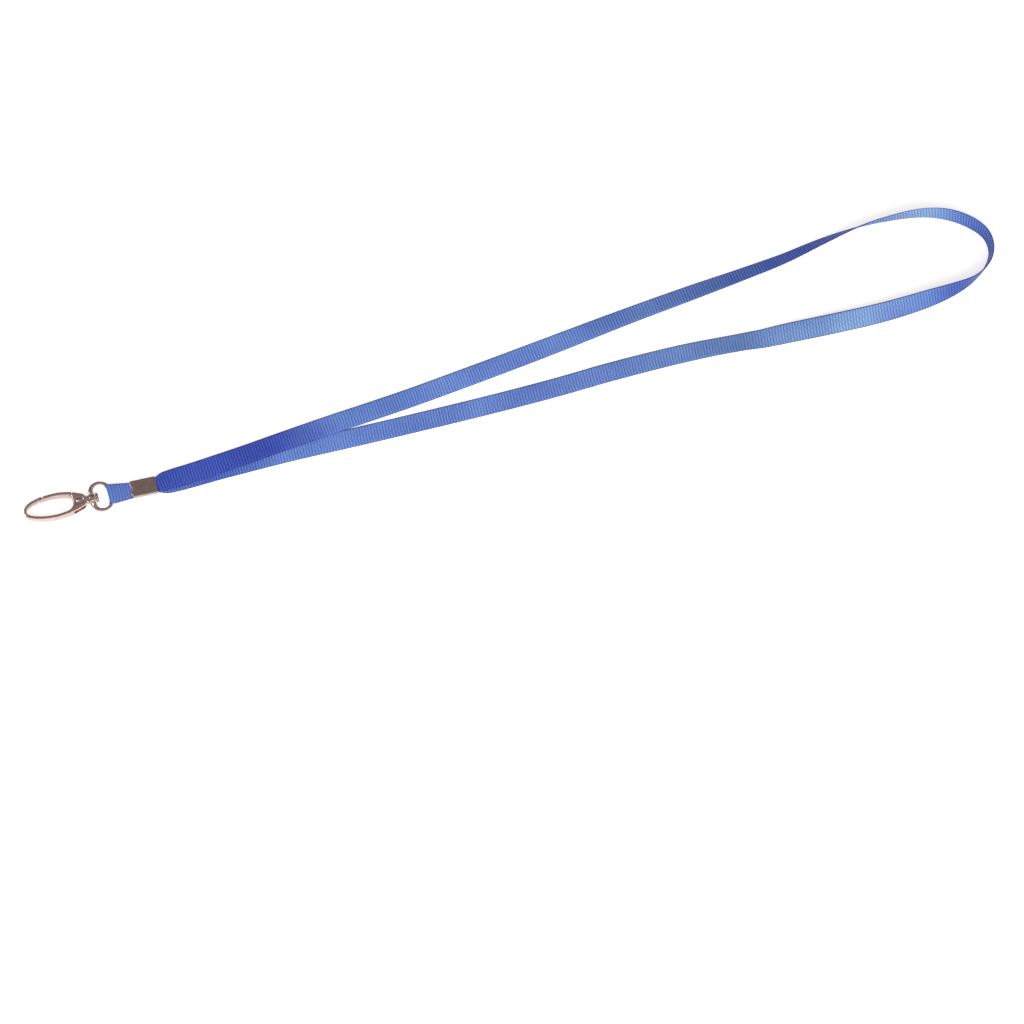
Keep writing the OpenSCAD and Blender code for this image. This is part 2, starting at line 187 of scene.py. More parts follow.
class Nodes:
    """Short calls for building a material's nodes."""

    def __init__(self, name):
        self.material = bpy.data.materials.new(name)
        self.material.use_nodes = True
        self.tree = self.material.node_tree
        self.shader = self.tree.nodes["Principled BSDF"]

    def new(self, kind, inputs=None, **settings):
        node = self.tree.nodes.new("ShaderNode" + kind)
        for key, value in settings.items():
            setattr(node, key, value)
        for key, value in (inputs or {}).items():
            self.put(node.inputs[key], value)
        return node

    def put(self, socket, value):
        if isinstance(value, bpy.types.NodeSocket):
            self.tree.links.new(value, socket)
        else:
            socket.default_value = value

    def math(self, operation, *values):
        node = self.new("Math", operation=operation)
        for socket, value in zip(node.inputs, values):
            self.put(socket, value)
        return node.outputs[0]

    def noise(self, scale, detail=2.0):
        node = self.new("TexNoise", {"Scale": scale, "Detail": detail})
        self.put(node.inputs["Vector"], self.new("TexCoord").outputs["Object"])
        return node.outputs["Fac"]

    def ramp(self, factor, stops):
        node = self.new("ValToRGB")
        self.put(node.inputs["Fac"], factor)
        elements = node.color_ramp.elements
        while len(elements) < len(stops):
            elements.new(0.5)
        for element, (place, colour) in zip(elements, stops):
            element.position = place
            element.color = (*colour, 1.0)
        return node.outputs["Color"]

    def spread(self, factor, low, high):
        node = self.new("MapRange", {"To Min": low, "To Max": high})
        self.put(node.inputs["Value"], factor)
        return node.outputs["Result"]

    def bump(self, height, distance, strength=1.0):
        node = self.new("Bump", {"Distance": distance, "Strength": strength})
        self.put(node.inputs["Height"], height)
        self.put(self.shader.inputs["Normal"], node.outputs["Normal"])

    def set(self, **sockets):
        for key, value in sockets.items():
            self.put(self.shader.inputs[key.replace("_", " ")], value)


WEFT_PITCH = 1.3 * MM
WARP_PITCH = 0.56 * MM


def webbing_material():
    """Ribbed satin webbing: on each rib a row of short pale floats, on a deep blue ground."""
    n = Nodes("webbing")
    uv = n.new("UVMap", uv_map="weave").outputs["UV"]
    split = n.new("SeparateXYZ", {"Vector": uv})
    across = n.math("ADD", n.math("DIVIDE", split.outputs["Y"], WARP_PITCH), 0.5)
    row = n.new("TexWhiteNoise", noise_dimensions="1D")
    n.put(row.inputs["W"], n.math("FLOOR", across))
    wobble = n.math("MULTIPLY", n.math("SUBTRACT", n.noise(900.0), 0.5), 0.2)
    stagger = n.math("MULTIPLY", row.outputs["Value"], 0.14)
    slant = n.math("DIVIDE", split.outputs["Y"], 30 * MM)
    along = n.math("ADD", n.math("DIVIDE", split.outputs["X"], WEFT_PITCH), 0.5)
    for shift in (wobble, stagger, slant):
        along = n.math("ADD", along, shift)
    # one float is a thin rounded dash; the ground is darkest between the floats of a rib
    length = n.math("POWER", n.math("SINE", n.math("MULTIPLY", n.math("FRACT", along), math.pi)), 1.3)
    width = n.math("SINE", n.math("MULTIPLY", n.math("FRACT", across), math.pi))
    dash = n.math("MULTIPLY", length, width)
    level = n.math("SUBTRACT", n.math("MULTIPLY", dash, 0.78), n.math("MULTIPLY", length, 0.31))
    level = n.math("ADD", level, n.spread(n.noise(2500.0, 1.0), 0.27, 0.50))
    colour = n.ramp(level, [
        (0.05, (0.022, 0.038, 0.28)), (0.38, (0.075, 0.135, 0.50)),
        (0.62, (0.17, 0.31, 0.70)), (0.9, (0.36, 0.56, 0.94)),
    ])
    # painted sheen: random paler and deeper patches stand in for the band's patchy gloss
    patches = n.ramp(n.noise(32.0, 2.0), [(0.35, (0.82, 0.85, 0.92)), (0.65, (1.12, 1.12, 1.06))])
    # Painted light and shade along the strap: the tone is deepened in the fan beside the crimp, in the
    # twist before the loop and at the loop's tip, and lightened elsewhere, most of all where the band
    # turns over at the loop.
    painted_light_and_shade_along_strap = n.ramp(split.outputs["X"], [
        (0.056, (0.36, 0.36, 0.70)), (0.088, (1.00, 1.00, 1.00)),
        (0.240, (1.15, 1.15, 1.10)), (0.265, (1.10, 1.10, 1.10)),
        (0.300, (0.60, 0.64, 1.05)), (0.330, (0.55, 0.60, 1.00)),
        (0.345, (1.20, 1.15, 1.00)), (0.365, (1.60, 1.50, 1.05)),
        (0.380, (0.88, 0.88, 0.90)), (0.400, (0.50, 0.55, 0.80)),
        (0.428, (0.50, 0.50, 0.70)), (0.440, (0.90, 0.92, 0.88)),
        (0.475, (1.30, 1.25, 0.92)), (0.530, (1.16, 1.14, 0.95)),
        (0.600, (1.08, 1.04, 1.00)), (0.700, (1.00, 1.00, 1.00)),
        (0.740, (1.00, 1.00, 1.00)), (0.770, (0.45, 0.45, 0.75)),
        (0.800, (0.90, 0.88, 0.92)),
    ])
    # painted shade: the band is darker towards both its edges
    off_centre = n.math("DIVIDE", n.math("ABSOLUTE", split.outputs["Y"]), STRAP_W / 2)
    painted_edge_shade = n.ramp(off_centre, [(0.86, (1.0, 1.0, 1.0)), (0.95, (0.66, 0.68, 0.80))])
    for shade in (patches, painted_light_and_shade_along_strap, painted_edge_shade):
        tint = n.new("Mix", data_type="RGBA", blend_type="MULTIPLY")
        n.put(tint.inputs["Factor"], 1.0)
        n.put(tint.inputs["A"], colour)
        n.put(tint.inputs["B"], shade)
        colour = tint.outputs["Result"]
    n.set(Base_Color=colour, Roughness=n.spread(dash, 0.55, 0.32))
    n.set(Sheen_Weight=0.05, Sheen_Roughness=0.35, Sheen_Tint=(0.4, 0.62, 1.0, 1.0))
    n.set(Specular_IOR_Level=0.1)
    n.bump(dash, 0.08 * MM, 0.7)
    return n.material


def nickel_material(name, low, high, roughness, grain):
    """Warm nickel plate on a casting, with soft unevenness, fine pits and dull specks."""
    n = Nodes(name)
    patches = n.noise(330.0, 3.0)
    pits = n.noise(3800.0, 3.0)
    specks = n.ramp(n.noise(1500.0, 4.0), [(0.27, (1.0, 1.0, 1.0)), (0.34, (0.0, 0.0, 0.0))])
    colour = n.ramp(patches, [(0.3, low), (0.7, high)])
    worn = n.new("Mix", data_type="RGBA", blend_type="MIX")
    n.put(worn.inputs["Factor"], n.math("MULTIPLY", specks, 0.35))
    n.put(worn.inputs["A"], colour)
    n.put(worn.inputs["B"], (0.30, 0.19, 0.14, 1.0))
    n.set(Base_Color=worn.outputs["Result"], Metallic=1.0)
    rough = n.spread(patches, roughness - 0.05, roughness + 0.07)
    n.set(Roughness=n.math("ADD", rough, n.math("MULTIPLY", specks, 0.2)))
    waves = n.math("MULTIPLY", patches, 0.5)
    n.bump(n.math("ADD", pits, waves), grain, 0.3)
    return n.material


def steel_material():
    """Bright drawn spring wire."""
    n = Nodes("spring_steel")
    lines = n.noise(4000.0, 2.0)
    n.set(Base_Color=n.ramp(lines, [(0.3, (0.5, 0.49, 0.47)), (0.7, (0.66, 0.65, 0.63))]), Metallic=1.0)
    n.set(Roughness=n.spread(lines, 0.2, 0.35))
    n.bump(lines, 0.01 * MM, 0.4)
    return n.material


def floor_material():
    n = Nodes("floor")
    grain = n.noise(60.0, 2.0)
    white = n.ramp(grain, [(0.3, (0.88, 0.88, 0.88)), (0.7, (0.90, 0.90, 0.90))])
    n.set(Base_Color=white, Roughness=0.7)
    n.set(Emission_Color=(1.0, 1.0, 1.0, 1.0), Emission_Strength=0.55)
    return n.material


# ---------------------------------------------------------------------------
# The strap
# ---------------------------------------------------------------------------

FACE_POINTS = 17
RING_STEP = 0.33 * MM
RIB = 0.015 * MM
EDGE_WAVE = 0.01 * MM
# A band's points crowd towards its edges, which are rounded over the last part of its width.
CROWDING = 0.85
EDGE_START = 0.94
# Where the crimp gathers it, the band has this many pleats across.
PLEATS = 2.5


def along_route(step):
    """Smooth samples of ROUTE: distance, place, way, roll, lift and width."""
    nodes = [Vector((x, y, math.radians(roll))) for x, y, roll, lift, width in ROUTE]
    sizes = [Vector((lift, width, 0.0)) for x, y, roll, lift, width in ROUTE]
    reach = [0.0]
    for a, b in zip(nodes, nodes[1:]):
        reach.append(reach[-1] + (b - a).xy.length)
    samples = []
    distance = 0.0

    def slopes(values, ends):
        inner = [
            (values[i + 1] - values[i - 1]) / (reach[i + 1] - reach[i - 1])
            for i in range(1, len(values) - 1)
        ]
        return [ends[0], *inner, ends[1]]

    node_slopes = slopes(nodes, (CRIMP_WAY, -CRIMP_WAY))
    size_slopes = slopes(sizes, (Vector((0, 0.1, 0)), Vector((0, -0.1, 0))))

    def hermite(values, ways, i, t, span):
        return (
            values[i] * (2 * t**3 - 3 * t**2 + 1)
            + ways[i] * (t**3 - 2 * t**2 + t) * span
            + values[i + 1] * (3 * t**2 - 2 * t**3)
            + ways[i + 1] * (t**3 - t**2) * span
        )

    last = nodes[0].xy
    for i in range(len(nodes) - 1):
        span = reach[i + 1] - reach[i]
        steps = max(2, round(span / step))
        for j in range(steps + (1 if i == len(nodes) - 2 else 0)):
            t = j / steps
            node = hermite(nodes, node_slopes, i, t, span)
            size = hermite(sizes, size_slopes, i, t, span)
            distance += (node.xy - last).length
            last = node.xy
            samples.append((distance, node, size))
    return samples


def band_section(distance, half_width, pleat):
    """Points round a band's section as (across, up)."""
    points = []
    weft = math.cos(2 * math.pi * distance / WEFT_PITCH)
    edge = half_width + EDGE_WAVE * weft
    for face in (1, -1):
        for k in range(FACE_POINTS):
            place = face * (1 - 2 * k / (FACE_POINTS - 1))
            place = math.copysign(abs(place) ** CROWDING, place)
            if abs(place) == 1.0 and face == -1:
                continue
            past = max(0.0, abs(place) - EDGE_START) / (1 - EDGE_START)
            depth = math.sqrt(max(0.0, 1 - past**2))
            up = face * (STRAP_T / 2 - RIB + RIB * weft) * depth
            up += pleat * math.cos(PLEATS * 2 * math.pi * place)
            points.append((edge * place, up))
    return points


NECK_PLEAT = 0.14 * MM
NECK_PLEAT_FADE = 5 * MM


def neck_webbing(material):
    """The strap from the crimp round the loop and back: a long thin band with rounded edges."""
    samples = along_route(RING_STEP)
    total = samples[-1][0]
    rings = []
    uvs = []
    for i, (distance, node, size) in enumerate(samples):
        before = samples[max(i - 1, 0)][1]
        after = samples[min(i + 1, len(samples) - 1)][1]
        way = (after - before).xy.normalized()
        out = Vector((-way.y, way.x, 0.0))
        roll = node.z
        across = -out * math.cos(roll) + Vector((0, 0, math.sin(roll)))
        up = out * math.sin(roll) + Vector((0, 0, math.cos(roll)))
        half = size.y / 2
        lift = size.x + half * abs(math.sin(roll)) + STRAP_T / 2 * abs(math.cos(roll))
        place = Vector((node.x, node.y, lift))
        from_crimp = min(distance, total - distance)
        pleat = NECK_PLEAT * math.exp(-from_crimp / NECK_PLEAT_FADE)
        section = band_section(distance, half, pleat)
        rings.append([place + across * a + up * u for a, u in section])
        widened = STRAP_W / 2 / half
        uvs.append([(distance, a * widened) for a, u in section])
    mesh = rings_mesh("neck_webbing", rings, uvs)
    piece = add_object("neck_webbing", mesh, "strap", material)
    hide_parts("neck_strap")


def bar_bend(across):
    """How far the ring's wire has curved back towards the swivel, this far from its middle."""
    past = max(0.0, abs(across) - RING_BAR_HALF)
    return math.sqrt(RING_LOOP_R**2 - past**2) - RING_LOOP_R


# The fold's weave is numbered on from here, where the webbing material's tone is even.
FOLD_WEAVE_START = 820 * MM
FOLD_STEP = 0.3 * MM
FOLD_UPPER_Z = 1.9 * MM
FOLD_LOWER_Z = 0.7 * MM
FOLD_PLEAT = 0.13 * MM
FOLD_NARROWS_BY = 1.0 * MM
FOLD_TURNS = 24
FOLD_SMOOTHINGS = 6


def fold_line(crimp_front):
    """The fold seen from its edge: out of the crimp, round the ring's bar and back under itself."""
    middle = RING_LOOP_WIRE_R + STRAP_T / 2
    inside = (CRIMP_CENTRE + 0.3 * CRIMP_LENGTH * CRIMP_WAY).x
    mouth = crimp_front + 0.4 * MM
    corners = [(inside, FOLD_UPPER_Z), (mouth, FOLD_UPPER_Z), (RING_BAR_X, AXIS_Z + middle)]
    for k in range(1, FOLD_TURNS):
        angle = math.pi / 2 + math.pi * k / FOLD_TURNS
        corners.append((RING_BAR_X + middle * math.cos(angle), AXIS_Z + middle * math.sin(angle)))
    corners += [(RING_BAR_X, AXIS_Z - middle), (mouth, FOLD_LOWER_Z), (inside, FOLD_LOWER_Z)]
    line = [Vector((x, 0.0, z)) for x, z in corners]
    points = []
    for a, b in zip(line, line[1:]):
        steps = max(1, round((b - a).length / FOLD_STEP))
        points += [a.lerp(b, j / steps) for j in range(steps)]
    points.append(line[-1])
    for _ in range(FOLD_SMOOTHINGS):
        between = [(a + 2 * b + c) / 4 for a, b, c in zip(points, points[1:], points[2:])]
        points = [points[0], *between, points[-1]]
    return points


def fold_webbing(material):
    """The strap's end folded round the ring. Its edge at the ring follows the ring's oval."""
    crimp_front = (CRIMP_CENTRE - CRIMP_LENGTH / 2 * CRIMP_WAY).x
    points = fold_line(crimp_front)
    rings = []
    uvs = []
    distance = 0.0
    for i, point in enumerate(points):
        before = points[max(i - 1, 0)]
        after = points[min(i + 1, len(points) - 1)]
        if i:
            distance += (point - before).length
        way = (after - before).normalized()
        up = Vector((-way.z, 0.0, way.x))
        reach = max(0.0, min(1.0, (point.x - RING_BAR_X) / (crimp_front - RING_BAR_X)))
        half = STRAP_W / 2 - FOLD_NARROWS_BY * reach
        shift = CRIMP_CENTRE.y * reach
        section = band_section(distance, half, FOLD_PLEAT * reach**2)
        rings.append([
            point + Vector((bar_bend(a) * (1 - reach) ** 2, a + shift, 0)) + up * u
            for a, u in section
        ])
        widened = STRAP_W / 2 / half
        uvs.append([(FOLD_WEAVE_START + distance, a * widened) for a, u in section])
    mesh = rings_mesh("fold_webbing", rings, uvs)
    piece = add_object("fold_webbing", mesh, "strap", material)
    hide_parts("ring_fold_strap")


# ---------------------------------------------------------------------------
# Metal fittings. Their outlines are drawn in millimetres.
# ---------------------------------------------------------------------------

HOOK_END_X = -2.0
HOOK_LENGTH = 28.5
HOOK_T = 5.0
NOSE_T = 3.3
TAPER_START = 8.0
ARM_W = 1.4
ARM_ROOT_W = 1.7
CHEEK_T = 1.2
CHEEK_R = 3.3
PIVOT = Vector((3.3, 0.0))
CHEEK_CORNER = Vector((5.35, 4.5))
CHEEK_TO_GATE = 113.9
CHEEK_TO_ARM = 250.0
WEB = 1.4
WEB_HALF = 2.1
SLOT_END = 6.8
POCKET_END = 12.5
GATE_END = 18.6
NOSE_END = 19.0
GATE_TONGUE = 20.6
NOSE_FULL = 21.1
TONGUE_IN = 0.68
TONGUE_GAP = 0.12
SIDE_GAP = 0.1
EDGE = 0.42


def turned(angle):
    return Vector((math.cos(math.radians(angle)), math.sin(math.radians(angle))))


ARM_START = PIVOT + CHEEK_R * turned(CHEEK_TO_ARM)
ARM_TOP = Vector((14.0, -5.15))
NOSE_TIP = Vector((HOOK_LENGTH, 0.5))
GATE_MID = Vector((15.5, 6.35))
ARM_ROOT = (ARM_START, ARM_START + 3.6 * turned(CHEEK_TO_ARM + 90), Vector((10.2, -5.2)), ARM_TOP)
ARM_TIP = (ARM_TOP, Vector((19.5, -5.1)), Vector((HOOK_LENGTH, -3.0)), NOSE_TIP)
NOSE = (NOSE_TIP, Vector((HOOK_LENGTH, 4.9)), Vector((23.0, 6.2)), GATE_MID)
GATE_SIDE = (GATE_MID, Vector((11.5, 6.4)), Vector((8.0, 5.6)), CHEEK_CORNER)


def bezier(curve, t, depth=0.0):
    """A point of the curve, moved inwards by depth."""
    a, b, c, d = curve
    point = (1 - t) ** 3 * a + 3 * (1 - t) ** 2 * t * b + 3 * (1 - t) * t * t * c + t**3 * d
    way = (1 - t) ** 2 * (b - a) + 2 * (1 - t) * t * (c - b) + t * t * (d - c)
    return point + depth * Vector((-way.y, way.x)).normalized()


def curve_points(curves, depth, low=-99.0, high=99.0, steps=30):
    """Points of the curves at a depth, those with h between low and high."""
    points = []
    for number, curve in enumerate(curves):
        for k in range(0 if number == 0 else 1, steps + 1):
            t = k / steps
            inwards = depth(number, t) if callable(depth) else depth
            point = bezier(curve, t, inwards)
            if low <= point.x <= high:
                points.append(point)
    return points


def at_h(curve, depth, h):
    """The curve's point at a depth where it passes h."""
    low, high = 0.0, 1.0
    rising = bezier(curve, 1.0, depth).x > bezier(curve, 0.0, depth).x
    for _ in range(40):
        middle = (low + high) / 2
        if (bezier(curve, middle, depth).x < h) == rising:
            low = middle
        else:
            high = middle
    return bezier(curve, low, depth)


def hook_point(h, y, z):
    return Vector((HOOK_END_X - h, y, z)) * MM


def taper(h):
    """How far each face of the hook has drawn in at h."""
    reach = max(0.0, (h - TAPER_START) / (HOOK_LENGTH - TAPER_START))
    return (HOOK_T - NOSE_T) / 2 * min(reach, 1.0)


def hook_low(h):
    return taper(h)


def hook_high(h):
    return HOOK_T - taper(h)


def spaced(points, step):
    """The closed outline with points added so that none are further apart than step."""
    result = []
    for a, b in zip(points, points[1:] + points[:1]):
        parts = max(1, math.ceil((b - a).length / step))
        result += [a.lerp(b, k / parts) for k in range(parts)]
    return result


PLATE_STEP = 0.35
ROUNDS = 5


def plate(name, outline, low, high, edge):
    """A plate with rounded edges. low and high give its faces at h, and edge its rounding."""
    points = spaced(outline, PLATE_STEP)
    area = sum(a.x * b.y - b.x * a.y for a, b in zip(points, points[1:] + points[:1]))
    if area < 0:
        points.reverse()
    count = len(points)
    inward = []
    for i in range(count):
        back = (points[i] - points[i - 1]).normalized()
        ahead = (points[(i + 1) % count] - points[i]).normalized()
        middle = Vector((-(back + ahead).y, (back + ahead).x)).normalized()
        lean = max(0.55, middle.dot(Vector((-ahead.y, ahead.x))))
        inward.append(middle / lean)
    radius = [edge(p) if callable(edge) else edge for p in points]
    bm = bmesh.new()
    rings = []
    for side in (-1, 1):
        order = range(ROUNDS + 1) if side < 0 else range(ROUNDS, -1, -1)
        for k in order:
            angle = math.pi / 2 * k / ROUNDS
            ring = []
            for i, point in enumerate(points):
                place = point + inward[i] * radius[i] * (1 - math.sin(angle))
                rise = radius[i] * (1 - math.cos(angle))
                z = low(point.x) + rise if side < 0 else high(point.x) - rise
                ring.append(bm.verts.new(hook_point(place.x, place.y, z)))
            rings.append(ring)
    for lower, upper in zip(rings, rings[1:]):
        for i in range(count):
            after = (i + 1) % count
            face = bm.faces.new((lower[i], lower[after], upper[after], upper[i]))
            face.smooth = True
    for ring in (rings[0], rings[-1]):
        flat = [Vector((v.co.x, v.co.y, 0.0)) / MM for v in ring]
        for a, b, c in tessellate_polygon([flat]):
            bm.faces.new((ring[a], ring[b], ring[c]))
    return finished(name, bm)


TURNED_SIDES = 72


def lathe(name, profile, origin, axis):
    """A closed turned shape: profile is (radius, along) pairs in millimetres."""
    axis = Vector(axis).normalized()
    side = axis.orthogonal().normalized()
    other = axis.cross(side)
    origin = Vector(origin)
    bm = bmesh.new()
    rings = []
    for radius, along in profile:
        centre = (origin + axis * along) * MM
        if radius == 0:
            rings.append([bm.verts.new(centre)])
            continue
        rings.append([
            bm.verts.new(centre + (side * math.cos(a) + other * math.sin(a)) * radius * MM)
            for a in (2 * math.pi * k / TURNED_SIDES for k in range(TURNED_SIDES))
        ])
    for first, second in zip(rings, rings[1:]):
        for k in range(TURNED_SIDES):
            after = (k + 1) % TURNED_SIDES
            if len(first) == 1:
                corners = (first[0], second[k], second[after])
            elif len(second) == 1:
                corners = (first[k], first[after], second[0])
            else:
                corners = (first[k], first[after], second[after], second[k])
            face = bm.faces.new(corners)
            face.smooth = True
    return finished(name, bm)


def closed_lathe(name, profile, origin, axis):
    """A turned shape with a hole: the profile is a closed outline clear of the axis."""
    axis = Vector(axis).normalized()
    side = axis.orthogonal().normalized()
    other = axis.cross(side)
    rings = []
    for k in range(TURNED_SIDES):
        angle = 2 * math.pi * k / TURNED_SIDES
        out = side * math.cos(angle) + other * math.sin(angle)
        rings.append([(Vector(origin) + axis * along + out * radius) * MM for radius, along in profile])
    bm = bmesh.new()
    rows = [[bm.verts.new(point) for point in ring] for ring in rings]
    count = len(profile)
    for i in range(TURNED_SIDES):
        for k in range(count):
            after = (k + 1) % count
            there = rows[(i + 1) % TURNED_SIDES]
            face = bm.faces.new((rows[i][k], rows[i][after], there[after], there[k]))
            face.smooth = True
    return finished(name, bm)


def box_mesh(name, low, high):
    """A box between two corners in millimetres."""
    bm = bmesh.new()
    bmesh.ops.create_cube(bm, size=1.0)
    low, high = Vector(low), Vector(high)
    for vert in bm.verts:
        share = vert.co + Vector((0.5, 0.5, 0.5))
        vert.co = Vector(low[i] + (high[i] - low[i]) * share[i] for i in range(3)) * MM
    return finished(name, bm)


def combined(mesh, others, operation):
    """The mesh cut by or joined to the others."""
    base = bpy.data.objects.new("base", mesh)
    bpy.context.scene.collection.objects.link(base)
    tools = []
    for other in others:
        tool = bpy.data.objects.new("tool", other)
        bpy.context.scene.collection.objects.link(tool)
        tools.append(tool)
        modifier = base.modifiers.new("cut", "BOOLEAN")
        modifier.operation = operation
        modifier.solver = "EXACT"
        modifier.object = tool
    bpy.context.view_layer.update()
    evaluated = base.evaluated_get(bpy.context.evaluated_depsgraph_get())
    result = bpy.data.meshes.new_from_object(evaluated)
    for spare in (base, *tools):
        data = spare.data
        bpy.data.objects.remove(spare)
        bpy.data.meshes.remove(data)
    return result


def softened(mesh, width):
    """The mesh with its sharp edges slightly rounded."""
    base = bpy.data.objects.new("base", mesh)
    bpy.context.scene.collection.objects.link(base)
    modifier = base.modifiers.new("soften", "BEVEL")
    modifier.width = width * MM
    modifier.segments = 2
    modifier.limit_method = "ANGLE"
    modifier.angle_limit = math.radians(50.0)
    bpy.context.view_layer.update()
    evaluated = base.evaluated_get(bpy.context.evaluated_depsgraph_get())
    result = bpy.data.meshes.new_from_object(evaluated)
    bpy.data.objects.remove(base)
    bpy.data.meshes.remove(mesh)
    return result


def shaded(mesh, angle=28.0):
    """Smooth shading, with the edges sharper than the angle kept crisp."""
    for polygon in mesh.polygons:
        polygon.use_smooth = True
    mesh.set_sharp_from_angle(angle=math.radians(angle))
    return mesh


def arm_depth(number, t):
    """The arm's width, a little more at its root."""
    return ARM_W + (ARM_ROOT_W - ARM_W) * max(0.0, 1 - 1.6 * t) if number == 0 else ARM_W


def hook_outline():
    """The hook seen from above: cheek, arm and nose in one outline."""
    arc = [
        PIVOT + CHEEK_R * turned(CHEEK_TO_GATE + (CHEEK_TO_ARM - CHEEK_TO_GATE) * k / 36)
        for k in range(36)
    ]
    outer = curve_points((ARM_ROOT, ARM_TIP), 0.0)
    nose_outer = curve_points((NOSE,), 0.0, low=NOSE_END + 0.1)[1:]
    tongue = [at_h(NOSE, 0.0, NOSE_END), at_h(NOSE, TONGUE_IN, NOSE_END)]
    tongue_inner = list(reversed(curve_points((NOSE,), TONGUE_IN, NOSE_END + 0.1, NOSE_FULL - 0.1)))
    step = [at_h(NOSE, TONGUE_IN, NOSE_FULL), at_h(NOSE, ARM_W, NOSE_FULL)]
    nose_inner = list(reversed(curve_points((NOSE,), ARM_W, NOSE_FULL + 0.1)))
    arm_inner = list(reversed(curve_points((ARM_ROOT, ARM_TIP), arm_depth, low=9.6)))[1:]
    joint = Vector((9.3, -3.45))
    front = (
        (joint, Vector((7.6, -3.1)), Vector((6.0, -1.4)), Vector((6.0, 0.6))),
        (Vector((6.0, 0.6)), Vector((6.0, 1.8)), Vector((6.1, 2.6)), Vector((6.3, 3.4))),
    )
    cheek_front = curve_points(front, 0.0, steps=14)
    near_corner = [CHEEK_CORNER.lerp(cheek_front[-1], 0.12), CHEEK_CORNER.lerp(arc[0], 0.06)]
    return (
        near_corner[1:] + arc + outer + nose_outer + tongue + tongue_inner + step
        + nose_inner + arm_inner + cheek_front + near_corner[:1]
    )


def hook_edge(point):
    """The rounding of the hook's edges: full on the arm, small on the corner and the tongue."""
    if point.y > 0 and point.x < NOSE_FULL + 0.6 and point.x > NOSE_END - 0.6:
        return 0.2
    if (point - CHEEK_CORNER).length < 1.6:
        return 0.18 + 0.15 * (point - CHEEK_CORNER).length
    return EDGE


def rivet_recess(face_z, way):
    """A cutter for a rivet's recess with a rounded lip; way points out of the face."""
    profile = [
        (0, -0.45), (1.72, -0.45), (1.74, -0.25), (1.76, -0.12), (1.82, -0.05), (1.93, 0.0),
        (2.0, 0.6), (0, 0.6),
    ]
    return lathe("recess", profile, (HOOK_END_X - PIVOT.x, 0.0, face_z), (0, 0, way))


def hook_body(material):
    """The casting: arm, nose and cheeks, a collar for the swivel, and the slot for the gate."""
    body = plate("hook_plate", hook_outline(), hook_low, hook_high, hook_edge)
    collar = lathe(
        "collar",
        [(0, -1.2), (2.1, -1.2), (2.1, 0.65), (2.04, 0.8), (1.9, 0.9), (0, 0.9)],
        (HOOK_END_X, 0.0, HOOK_T / 2), (1, 0, 0),
    )
    body = combined(body, [collar], "UNION")
    high = HOOK_T - CHEEK_T
    beyond = 9
    slot = [
        Vector((WEB, -beyond)), Vector((SLOT_END, -beyond)),
        Vector((SLOT_END, beyond)), Vector((WEB, beyond)),
    ]
    web_x = HOOK_END_X - WEB - 0.5
    low_z, high_z = CHEEK_T + 0.01, high - 0.01
    pocket = curve_points((ARM_ROOT,), 0.6, SLOT_END - 0.5, POCKET_END)
    pocket += list(reversed(curve_points((ARM_ROOT,), 2.8, SLOT_END - 0.5, POCKET_END)))
    cuts = [
        plate("slot", slot, lambda h: CHEEK_T, lambda h: high, 0.12),
        plate("pocket", pocket, lambda h: CHEEK_T + 0.02, lambda h: high - 0.02, 0.1),
        box_mesh("side", (web_x, WEB_HALF, low_z), (0, beyond, high_z)),
        box_mesh("side", (web_x, -beyond, low_z), (0, -WEB_HALF, high_z)),
        rivet_recess(HOOK_T, 1),
        rivet_recess(0.0, -1),
    ]
    body = combined(body, cuts, "DIFFERENCE")
    body = shaded(softened(body, 0.07))
    piece = add_object("hook_casting", body, "hook", material)
    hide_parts("hook_body")


def gate_outline():
    """The gate's full-depth part: its arm and the thin tongue that slips behind the nose's."""
    start = Vector((5.78, 4.62))
    outer = [at_h(NOSE, 0.0, GATE_END)] + curve_points((NOSE, GATE_SIDE), 0.0, 6.1, GATE_END - 0.1)
    inner = list(reversed(curve_points((NOSE, GATE_SIDE), ARM_W, 7.0, GATE_TONGUE - 0.1)))
    tongue_line = TONGUE_IN + TONGUE_GAP
    tip = [at_h(NOSE, ARM_W, GATE_TONGUE - 0.15), at_h(NOSE, ARM_W - 0.12, GATE_TONGUE)]
    tip += [at_h(NOSE, tongue_line + 0.12, GATE_TONGUE), at_h(NOSE, tongue_line, GATE_TONGUE - 0.15)]
    back = curve_points((NOSE,), tongue_line, GATE_END + 0.1, GATE_TONGUE - 0.25)
    end = [at_h(NOSE, tongue_line, GATE_END)]
    return outer + [start, Vector((6.5, 3.5))] + inner + tip + back + end


def gate_edge(point):
    """The rounding of the gate's edges: full along its arm, small on its root and its tongue."""
    if point.x > GATE_END - 0.5 or point.x < 7.2:
        return 0.2
    return EDGE - 0.02


